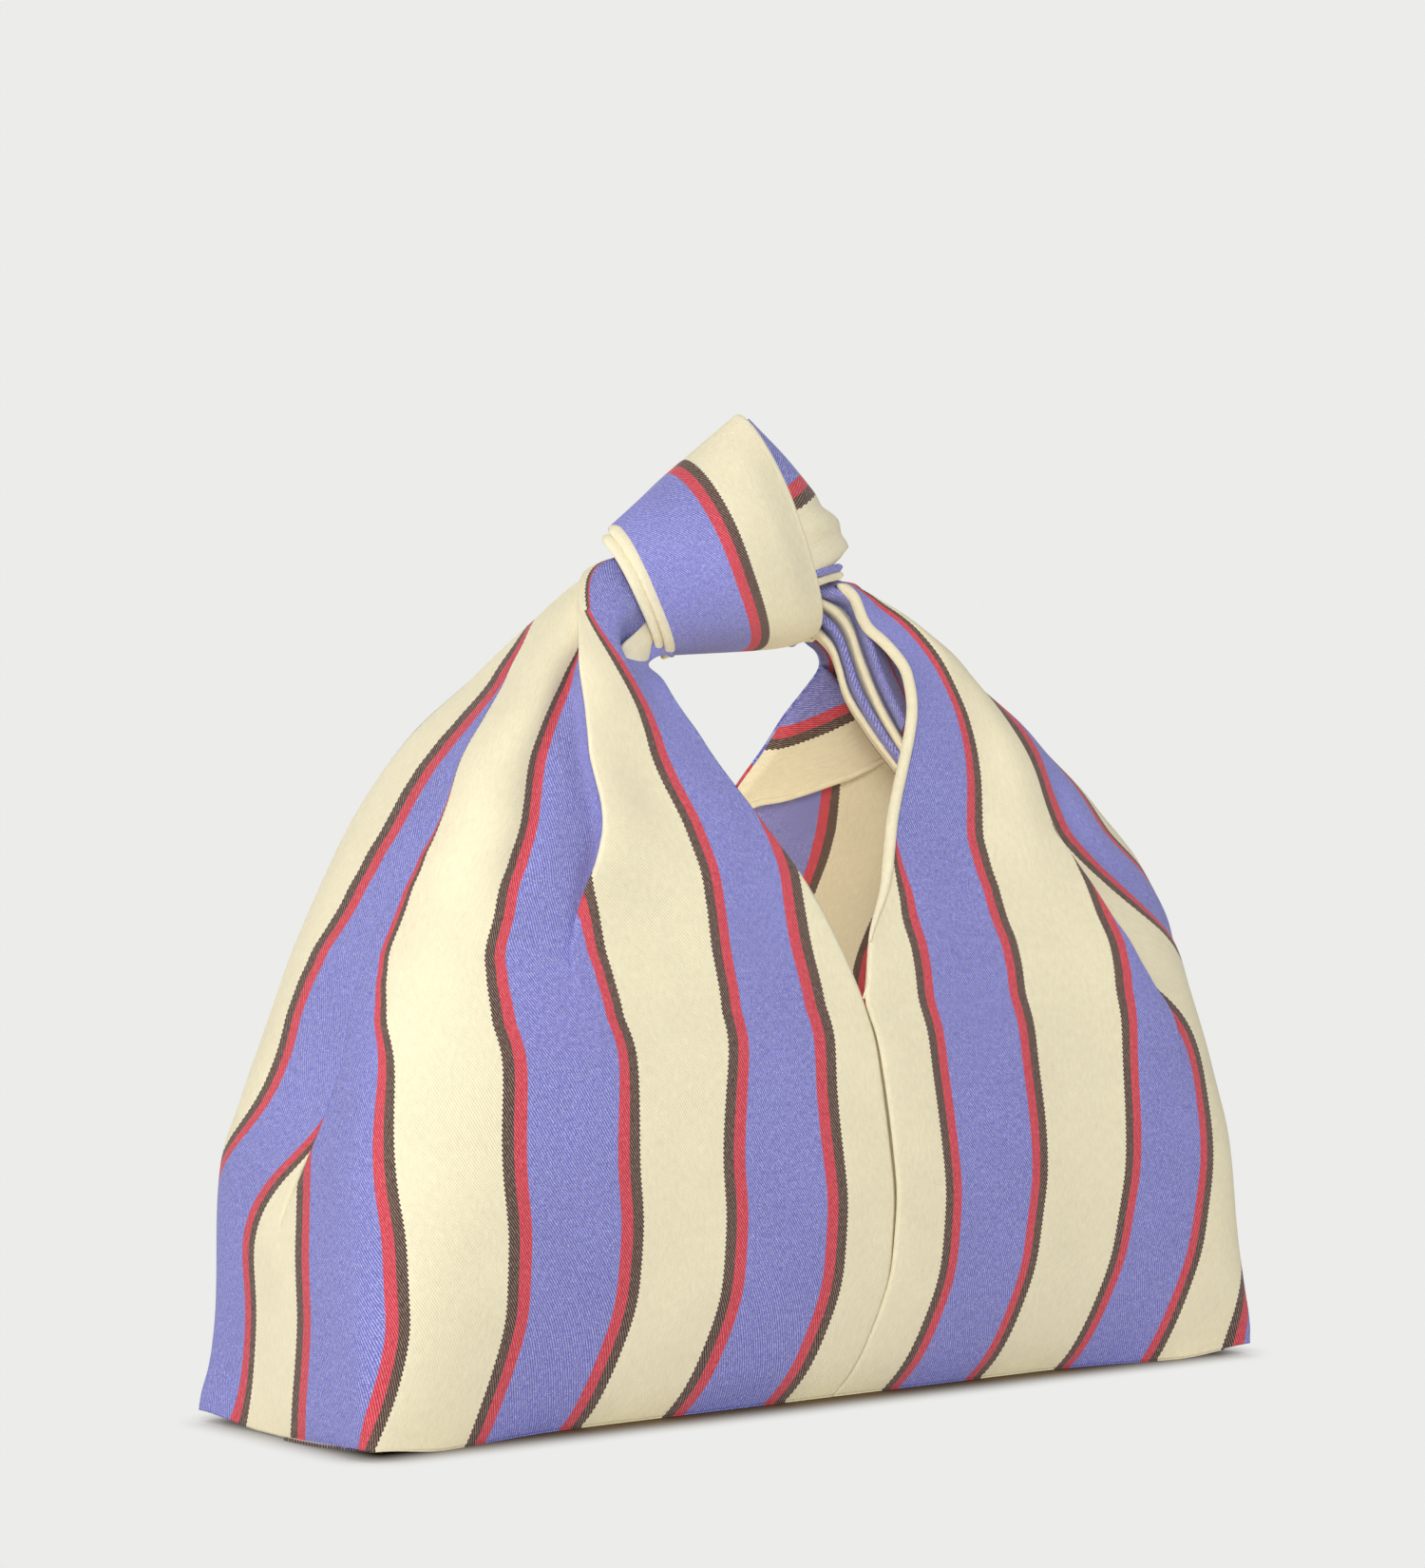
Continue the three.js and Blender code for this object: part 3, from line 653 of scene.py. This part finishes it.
base = {"cornerThread": 184.0, "rows": 14, "rise": .5, "tuck": .5, "halfDepth": 47, "cloth": .9}


def buildBase(name, lobe, shape, back):
    threads = np.abs(shape["cloth"][0, :, 0])
    if back:
        threads = bag["backSeam"] - threads
    keep = threads < base["cornerThread"]
    edge, u = shape["points"][0][keep] + (0, 0, base["tuck"]), shape["cloth"][0, keep, 0]
    rows, cloth = [], []
    for share in np.linspace(0, 1, base["rows"]):
        row = edge * (1, 1 - share, 1)
        row[:, 2] = edge[:, 2] + (base["rise"] - standsAt - edge[:, 2]) * math.sin(share * np.pi / 2)
        rows.append(row)
        cloth.append(np.stack([u, np.full(len(u), -share * base["halfDepth"])], 1))
    flip = (lobe["side"] > 0) == back
    return sheetMesh(name, rows, cloth, base["cloth"], flip=flip)


bases = {}
for sideName, lobe, shape in halves:
    for face in ("front", "back"):
        node = sideName + "_base_" + face
        bases[node] = buildBase(node + "_cloth", lobe, shape, face == "back")
print("base made")


# seam allowances, pressed flat inside, and the seams that box the base

seams = {
    "half": (4.5, .8), "in": 2.3, "thread": 8.0, "bottomRun": (-172, -90, 0, 90, 172), "bottomUp": 2.2,
    "cornerHalf": (3.0, .9), "cornerAt": 176.0, "cornerRun": (-38, -20, 0, 20, 38), "cornerUp": 2.4,
}


def centreSeam(name, column):
    rows = leftShape["levels"] < bag["vHeight"] - 2
    edge = leftShape["points"][rows, column] - leftShape["normals"][rows, column] * seams["in"]
    inner = np.sign(leftShape["points"][60, column, 1])
    return rollMesh(name, edge[3:], seams["half"], seams["thread"], 50, 3, (0, inner, 0))


frontSeam, backSeam = centreSeam("front_seam_allowance", 0), centreSeam("back_seam_allowance", -1)
ground = base["rise"] - standsAt
bottomPath = [(x, 0, ground + seams["bottomUp"]) for x in seams["bottomRun"]]
bottomSeam = rollMesh("bottom_seam_allowance", bottomPath, seams["half"], seams["thread"], 80, 4, (0, 0, 1))
cornerSeams = []
for sideName, side in (("left", -1), ("right", 1)):
    across = [(side * seams["cornerAt"], y, ground + seams["cornerUp"]) for y in seams["cornerRun"]]
    name = sideName + "_corner_allowance"
    cornerSeams.append(rollMesh(name, across, seams["cornerHalf"], seams["thread"], 40, 4, (0, 0, 1)))
print("seams made")


# the knot

knot = {
    "leftTop": (-57, 279.5), "leftFoot": (-35, 238), "rightTop": (-5.5, 317), "rightFoot": (25, 240.5),
    "depth": curve((0, 13), (.25, 24), (.53, 31), (.8, 28), (1, 22)),
    "bow": curve((0, -3.5), (.25, -8), (.5, -11), (1, -5.5)), "backBow": 6.0,
    "hug": curve((0, .66), (.2, .8), (.5, 1), (1, 1)),
    "bands": (29.0, 96.5), "around": 120, "rows": 64, "along": -36, "roundFoot": 3.5, "cloth": 1.2,
    "turnIn": 3.0, "turnOut": .04, "turnRows": 11,
}
knotHems = {
    "turn": 1.06, "count": 70, "thread": 85.5, "along": 26, "taper": 8, "blunt": .25,
    "outer": (.01, .3, (2.4, 1.1)), "inner": (-.05, 1.3, (2.3, 1.1)),
}
knotCore = {
    "from": -.03, "rows": 30, "around": 60, "inset": 5, "endInset": 6, "threads": (110, 40), "along": 22,
    "cloth": 1.0,
}


def knotRing(t, angle, inset=0.0):
    # closed ring of the wrap at share t from its left hem to its right edge, sharper at the top
    foot = np.array(knot["leftFoot"]) * (1 - t) + np.array(knot["rightFoot"]) * t
    foot[1] += knot["roundFoot"] * max(0.0, t) ** 8
    top = np.array(knot["leftTop"]) * (1 - t) + np.array(knot["rightTop"]) * t
    middle, half = (foot + top) / 2, (top - foot) / 2
    length = np.linalg.norm(half)
    side = np.array([half[1], -half[0]]) / length
    half *= (length - inset) / length
    along, wide = np.cos(angle), np.sin(angle)
    bow = np.where(wide > 0, knot["bow"](t), knot["backBow"]) * wide ** 2
    flat = middle + along[:, None] * half + bow[:, None] * side
    sharp = 1.05 + .35 * smoothStep(-.3, .8, along)
    deep = (knot["depth"](t) - inset) * np.where(wide < 0, knot["hug"](t), 1.0)
    y = -deep * np.sign(wide) * np.abs(wide) ** sharp
    return np.stack([flat[:, 0], y, flat[:, 1]], 1)


def buildWrap():
    angle = np.linspace(0, 2 * np.pi, knot["around"], endpoint=False)
    rows, cloth = [], []
    low, high = knot["bands"]
    for t in np.linspace(0, 1, knot["rows"]):
        rows.append(knotRing(t, angle))
        cloth.append(onThread(low + t * (high - low), angle * knot["along"]))
    for turn in np.linspace(.2, 2.4, knot["turnRows"]):  # the right edge turns in
        past = 1 + knot["turnOut"] * math.sin(turn)
        rows.append(knotRing(past, angle, knot["turnIn"] * (1 - math.cos(turn))))
        cloth.append(onThread(high + knot["turnIn"] * turn, angle * knot["along"]))
    return sheetMesh("knot_wrap_cloth", rows, cloth, knot["cloth"], closed=True)


def buildHem(name, t, inset, size):
    count = knotHems["count"]
    angle = np.linspace(.0, knotHems["turn"] * np.pi, count)
    centre = knotRing(t, angle, inset)
    outward = unit(centre - knotRing(t, angle, inset + 1))
    across = knotRing(t + .05, angle, inset) - centre
    across = unit(across - outward * (across * outward).sum(1, keepdims=True))
    fromEnd = np.minimum(np.arange(count), np.arange(count)[::-1])
    taper = np.minimum(1, fromEnd / knotHems["taper"] + knotHems["blunt"])
    cloth = onThread(knotHems["thread"], angle * knotHems["along"])
    return tubeMesh(name, centre, across, outward, taper[:, None] * size, cloth)


wrap = buildWrap()
hems = [buildHem("knot_hem_" + layer, *knotHems[layer]) for layer in ("outer", "inner")]


def buildCore():
    angle = np.linspace(0, 2 * np.pi, knotCore["around"], endpoint=False)
    first, spread = knotCore["threads"]
    rows, cloth = [], []
    for t in np.linspace(knotCore["from"], 1.0, knotCore["rows"]):
        rows.append(knotRing(t, angle, knotCore["inset"] + knotCore["endInset"] * smoothStep(.8, 1, t)))
        cloth.append(onThread(first + t * spread, angle * knotCore["along"]))
    return sheetMesh("knot_core_cloth", rows, cloth, knotCore["cloth"], closed=True)


core = buildCore()
print("knot made")


# the end of the strap that stands out of the knot

tail = {
    "inner": [(-12, -5, 306), (-10, -13, 294), (-3, -18, 277), (4, -17, 262)],
    "outer": [(-2, -1, 315), (11, -4, 303), (24, -6, 289), (38, -4, 275)],
    "back": [(1, 7, 310), (10, 13, 297), (18, 16, 279), (24, 14, 264)],
    "threads": (36.0, 92.0), "rows": 44, "around": 28, "along": 9, "cloth": 1.2,
    "puff": (.5, .75), "crease": .9, "footTo": (-6, 0, -2), "footRows": (.2, .45, .75, .97),
    "footDrop": -3.5, "footThreads": 14,
    "upper": ([(2, -19, 263), (14.5, -17, 265), (25.3, -12, 266.6), (33, -8, 267.6)], (1.3, 1.4), 45),
    "lower": ([(4, -18, 260), (14.5, -16, 262), (25.3, -11, 264), (34, -7, 265)], (1.6, 1.6), 85),
}


def buildTail():
    inner, outer, back = (path(tail[k], tail["rows"]) for k in ("inner", "outer", "back"))
    angle = np.linspace(0, np.pi, tail["around"])
    rows, cloth = [], []
    for r, share in enumerate(np.linspace(0, 1, tail["rows"])):
        middle = (inner[r] + back[r]) / 2
        ring = middle + np.cos(angle)[:, None] * (inner[r] - middle)
        ring += np.sin(angle)[:, None] * (outer[r] - middle)
        puff = float(smoothStep(*tail["puff"], share))
        crease = np.sin(share * 17 + 2.2 * np.cos(angle)) + .6 * np.sin(share * 31 - 3 * angle)
        ring += puff * tail["crease"] * (crease * np.sin(angle))[:, None] * (.5, -.8, .2)
        rows.append(ring)
        low, high = tail["threads"]
        cloth.append(onThread(low + share * (high - low), angle * tail["along"]))
    # the foot of the puff closes under itself
    last = np.array(rows[-1])
    middle = last.mean(0) + tail["footTo"]
    for share in tail["footRows"]:
        rows.append(last + (middle - last) * share + (0, 0, tail["footDrop"] * math.sin(share * np.pi)))
        cloth.append(cloth[tail["rows"] - 1] + (share * tail["footThreads"], 0))
    return sheetMesh("knot_tail_cloth", rows, cloth, tail["cloth"])


tailCurl = buildTail()
tailFolds = [rollMesh("knot_tail_fold_" + fold, *tail[fold]) for fold in ("upper", "lower")]


# gathers of the right neck that run into the knot beside the lip

gathers = {
    "ridges": [
        [(24, -6, 259.5), (33.8, -8, 258.5), (38.4, -9, 254.7), (40.7, -10, 248), (46.4, -12, 232),
         (55, -14, 215)],
        [(25, -4, 257), (33.7, -5, 252.4), (38.4, -6, 246.2), (41.3, -7, 237.6), (48.3, -9, 221.4),
         (58, -11, 206)],
        [(25, -2, 254), (35.3, -3, 245.3), (38.8, -4, 236.7), (41.7, -5, 228), (51.8, -7, 211.8),
         (60, -8, 202)],
        [(25, 0, 249), (35.3, 0, 240.5), (38.4, 0, 233.8), (40.8, 0, 227), (50, 0, 214.6), (64, 0, 200)],
    ],
    "valley": (5.5, 8.0, -1.0), "startBy": (3, -2, 4), "lastDeep": 1.2, "lastBy": (1, 0, -1), "cloth": .9,
    "firstThread": 45.0, "pitch": 40.5, "levels": (260, 205), "rows": 50, "perFold": 18,
}


def layRuns(name, runs, marks, spots, threads, levels, thickness):
    # cloth over runs laid side by side, with its threads across them and its levels along
    runs = np.array(runs)
    points = [[curve(*zip(marks, runs[:, r, k]))(spots) for k in range(3)] for r in range(len(levels))]
    cloth = np.stack(np.broadcast_arrays(threads[None], levels[:, None]), 2)
    return sheetMesh(name, np.stack(points).transpose(0, 2, 1), cloth, thickness, flip=True)


def buildGathers():
    ridges = [path(r, gathers["rows"]) for r in gathers["ridges"]]
    deep = np.array(gathers["valley"])
    start = ridges[0] + deep + gathers["startBy"]
    last = ridges[-1] + deep * gathers["lastDeep"] + gathers["lastBy"]
    stations = [start]
    for k, ridge in enumerate(ridges):
        stations.append(ridge)
        stations.append((ridge + ridges[k + 1]) / 2 + deep if k + 1 < len(ridges) else last)
    marks = np.arange(len(stations)) * .5 - .5
    spots = np.linspace(marks[0], marks[-1], gathers["perFold"] * len(ridges))
    threads = gathers["firstThread"] + gathers["pitch"] * (spots - np.sin(2 * np.pi * spots) / (4 * np.pi))
    levels = np.linspace(*gathers["levels"], gathers["rows"])
    return layRuns("right_neck_gathers", stations, marks, spots, threads, levels, gathers["cloth"])


gatherFolds = buildGathers()

rightRoll = {"from": 146.0, "to": 283.5, "half": (1.9, 1.7), "threads": 8.0, "offset": (-.7, -.4, 0),
             "count": 120, "start": 40}
onLip = (rightShape["levels"] > rightRoll["from"]) & (rightShape["levels"] < rightRoll["to"])
lipEdge = rightShape["points"][onLip, 0] + rightRoll["offset"]
lipRoll = rollMesh("front_right_lip_roll", lipEdge, rightRoll["half"], rightRoll["threads"],
                   rightRoll["count"], rightRoll["start"])

leftFlap = {
    "hidden": [(-45.5, -6.5, 250), (-53, -9.5, 245.5), (-61, -12, 240), (-62, -13, 235), (-57, -13, 228)],
    "crest": [(-44.5, -7, 249.5), (-49, -9, 245), (-53, -11, 240), (-54, -12, 235), (-51, -11, 228.5)],
    "edge": [(-43, -5, 248.5), (-42, -5, 245), (-43.5, -5, 241), (-45.5, -5.5, 235), (-47.2, -6, 229)],
    "under": [(-44, 2, 248.5), (-45, 2, 245), (-45.5, 2, 241), (-47, 1, 235), (-49, 0, 229)],
    "rows": 24, "columns": 20, "firstThread": 2, "threads": 5, "levels": (250, 228), "cloth": .9,
}


def buildFlap():
    runs = [path(leftFlap[k], leftFlap["rows"]) for k in ("hidden", "crest", "edge", "under")]
    spots = np.linspace(0, 3, leftFlap["columns"])
    threads = leftFlap["firstThread"] + spots * leftFlap["threads"]
    levels = np.linspace(*leftFlap["levels"], leftFlap["rows"])
    return layRuns("front_left_lip_flap", runs, range(4), spots, threads, levels, leftFlap["cloth"])


flap = buildFlap()
print("neck folds made")


# joints: what each piece rides on, and which parts it stands in for


for panel, sideName in ((leftPanel, "left"), (rightPanel, "right")):
    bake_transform(panel)
    parts = ("panel_front", "panel_end", "panel_back", "neck", "strap")
    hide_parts(*[sideName + "_" + part for part in parts])
for node, (cloth, hem) in facings.items():
    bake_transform(cloth)
    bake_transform(hem)
    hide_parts(node)
for node, cloth in bases.items():
    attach(cloth, "pouch")
    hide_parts(node)
seamNodes = ("front_centre_seam", "back_centre_seam", "bottom_seam",
             "left_corner_seam", "right_corner_seam")
for piece, node in zip((frontSeam, backSeam, bottomSeam, *cornerSeams), seamNodes):
    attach(piece, "pouch")
    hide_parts(node)
for piece in (gatherFolds, lipRoll, flap):
    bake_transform(piece)
for piece in (wrap, core, *hems):
    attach(piece, "handle")
for piece in (tailCurl, *tailFolds):
    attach(piece, "tail")
for piece, node in ((wrap, "knot_wrap"), (core, "knot_core"), (tailCurl, "knot_tail")):
    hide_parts(node)


# camera, floor and light

studio = {
    "cameraAt": (-0.9476, -1.2274, 0.2439), "pan": 37.23, "tilt": -1.67, "lens": 107.9,
    "backdrop": (0.8388, 0.8388, 0.8228), "world": 0.30,
    "floor": (0.84, 0.84, 0.825), "floorHalf": 3.0, "floorAt": -0.0006, "seenFloor": (0.95, 0.945, 0.925),
    "shadowFrom": (0.170, 0.038, 1.0), "shadowFade": 0.026,
    # painted contact shadow: a dark warm floor colour, mixed in by ambient occlusion near the cloth
    "underFloor": (0.16, 0.11, 0.06), "underReach": 0.03, "underOpen": (0.45, 0.95),
}
lamps = {
    # place, aim, size, power and colour; the last is the warm light that thin cotton lets through
    "front": ((-1.25, -1.4, 0.8), (0, 0, .17), .55, 19),
    "left": ((-1.9, -0.2, 0.9), (0, 0, .15), 1.0, 10),
    "back": ((0.6, 1.9, 1.0), (0, 0, .15), 1.2, 15),
    "right": ((1.2, -1.6, 0.9), (0, 0, .15), 1.2, 6),
    "inside": ((0.0, -0.025, 0.11), (.03, .05, .20), .06, .07, (1, .90, .66)),
}


def standAt(name, data, at, looking):
    thing = bpy.data.objects.new(name, data)
    thing.location = at
    thing.rotation_mode = "QUATERNION"
    thing.rotation_quaternion = looking.to_track_quat("-Z", "Y")
    bpy.context.scene.collection.objects.link(thing)
    return thing


def addCamera():
    data = bpy.data.cameras.new("photo_camera")
    data.lens = studio["lens"]
    data.sensor_width = 36
    data.clip_end = 50
    pan, tilt = math.radians(studio["pan"]), math.radians(studio["tilt"])
    view = Vector((math.sin(pan) * math.cos(tilt), math.cos(pan) * math.cos(tilt), math.sin(tilt)))
    bpy.context.scene.camera = standAt("photo_camera", data, studio["cameraAt"], view)


def addWorld():
    world = bpy.data.worlds.new("studio")
    bpy.context.scene.world = world
    world.use_nodes = True
    tree = world.node_tree
    tree.nodes.clear()
    rays = addNode(tree, "LightPath").outputs
    seen = rays["Is Camera Ray"]
    for kind in ("Is Glossy Ray", "Is Transmission Ray"):
        seen = addNode(tree, "Math", {0: seen, 1: rays[kind]}, operation="MAXIMUM").outputs[0]
    lit = addNode(tree, "Background", {"Color": (1, 1, 1), "Strength": studio["world"]})
    shown = addNode(tree, "Background", {"Color": studio["backdrop"]})
    mix = addNode(tree, "MixShader", {0: seen, 1: lit.outputs[0], 2: shown.outputs[0]})
    addNode(tree, "OutputWorld", {0: mix.outputs[0]})


def addFloor():
    half = studio["floorHalf"]
    corners = [(-half, -half, 0), (half, -half, 0), (half, half, 0), (-half, half, 0)]
    mesh = bpy.data.meshes.new("floor")
    mesh.from_pydata(corners, [], [(0, 1, 2, 3)])
    floor = bpy.data.objects.new("floor", mesh)
    floor.location.z = studio["floorAt"]
    bpy.context.scene.collection.objects.link(floor)
    material = bpy.data.materials.new("pale_floor")
    material.use_nodes = True
    tree = material.node_tree
    tree.nodes.clear()

    def vectorMath(kind, *values):
        return addNode(tree, "VectorMath", enumerate(values), operation=kind).outputs

    def tinted(factor, a, b):
        return addNode(tree, "Mix", {"Factor": factor, "A": a, "B": b}, data_type="RGBA").outputs["Result"]

    # 0 on the ground near the bag, 1 where the floor shows only the backdrop's colour
    place = vectorMath("ABSOLUTE", addNode(tree, "NewGeometry").outputs["Position"])["Vector"]
    outside = vectorMath("MAXIMUM", vectorMath("SUBTRACT", place, studio["shadowFrom"])["Vector"])["Vector"]
    span = {"Value": vectorMath("LENGTH", outside)["Value"], "From Max": studio["shadowFade"]}
    away = addNode(tree, "MapRange", span, interpolation_type="SMOOTHSTEP").outputs["Result"]

    # painted shadow: the floor's colour turns dark and warm by ambient occlusion, a thin dark line where
    # the cloth meets the floor
    under = addNode(tree, "AmbientOcclusion", {"Distance": studio["underReach"]}).outputs["AO"]
    low, high = studio["underOpen"]
    clear = addNode(tree, "MapRange", {"Value": under, "From Min": low, "From Max": high}).outputs["Result"]
    paintedShadowFloor = tinted(clear, studio["underFloor"], studio["seenFloor"])

    seen = addNode(tree, "LightPath").outputs["Is Camera Ray"]
    matt = addNode(tree, "BsdfDiffuse", {"Color": tinted(seen, studio["floor"], paintedShadowFloor)})
    plain = addNode(tree, "Emission", {"Color": studio["backdrop"]})
    shown = addNode(tree, "Math", {0: seen, 1: away}, operation="MULTIPLY")
    mix = addNode(tree, "MixShader", {0: shown.outputs[0], 1: matt.outputs[0], 2: plain.outputs[0]})
    addNode(tree, "OutputMaterial", {0: mix.outputs[0]})
    mesh.materials.append(material)


def addLamp(name, at, aim, size, power, colour=(1, 1, 1)):
    data = bpy.data.lights.new(name, "AREA")
    data.size = size
    data.energy = power
    data.color = colour
    standAt(name, data, at, Vector(aim) - Vector(at)).visible_camera = False


addCamera()
addWorld()
addFloor()
for name, lamp in lamps.items():
    addLamp(name, *lamp)
bpy.context.scene.view_settings.view_transform = "Standard"
print("studio set")
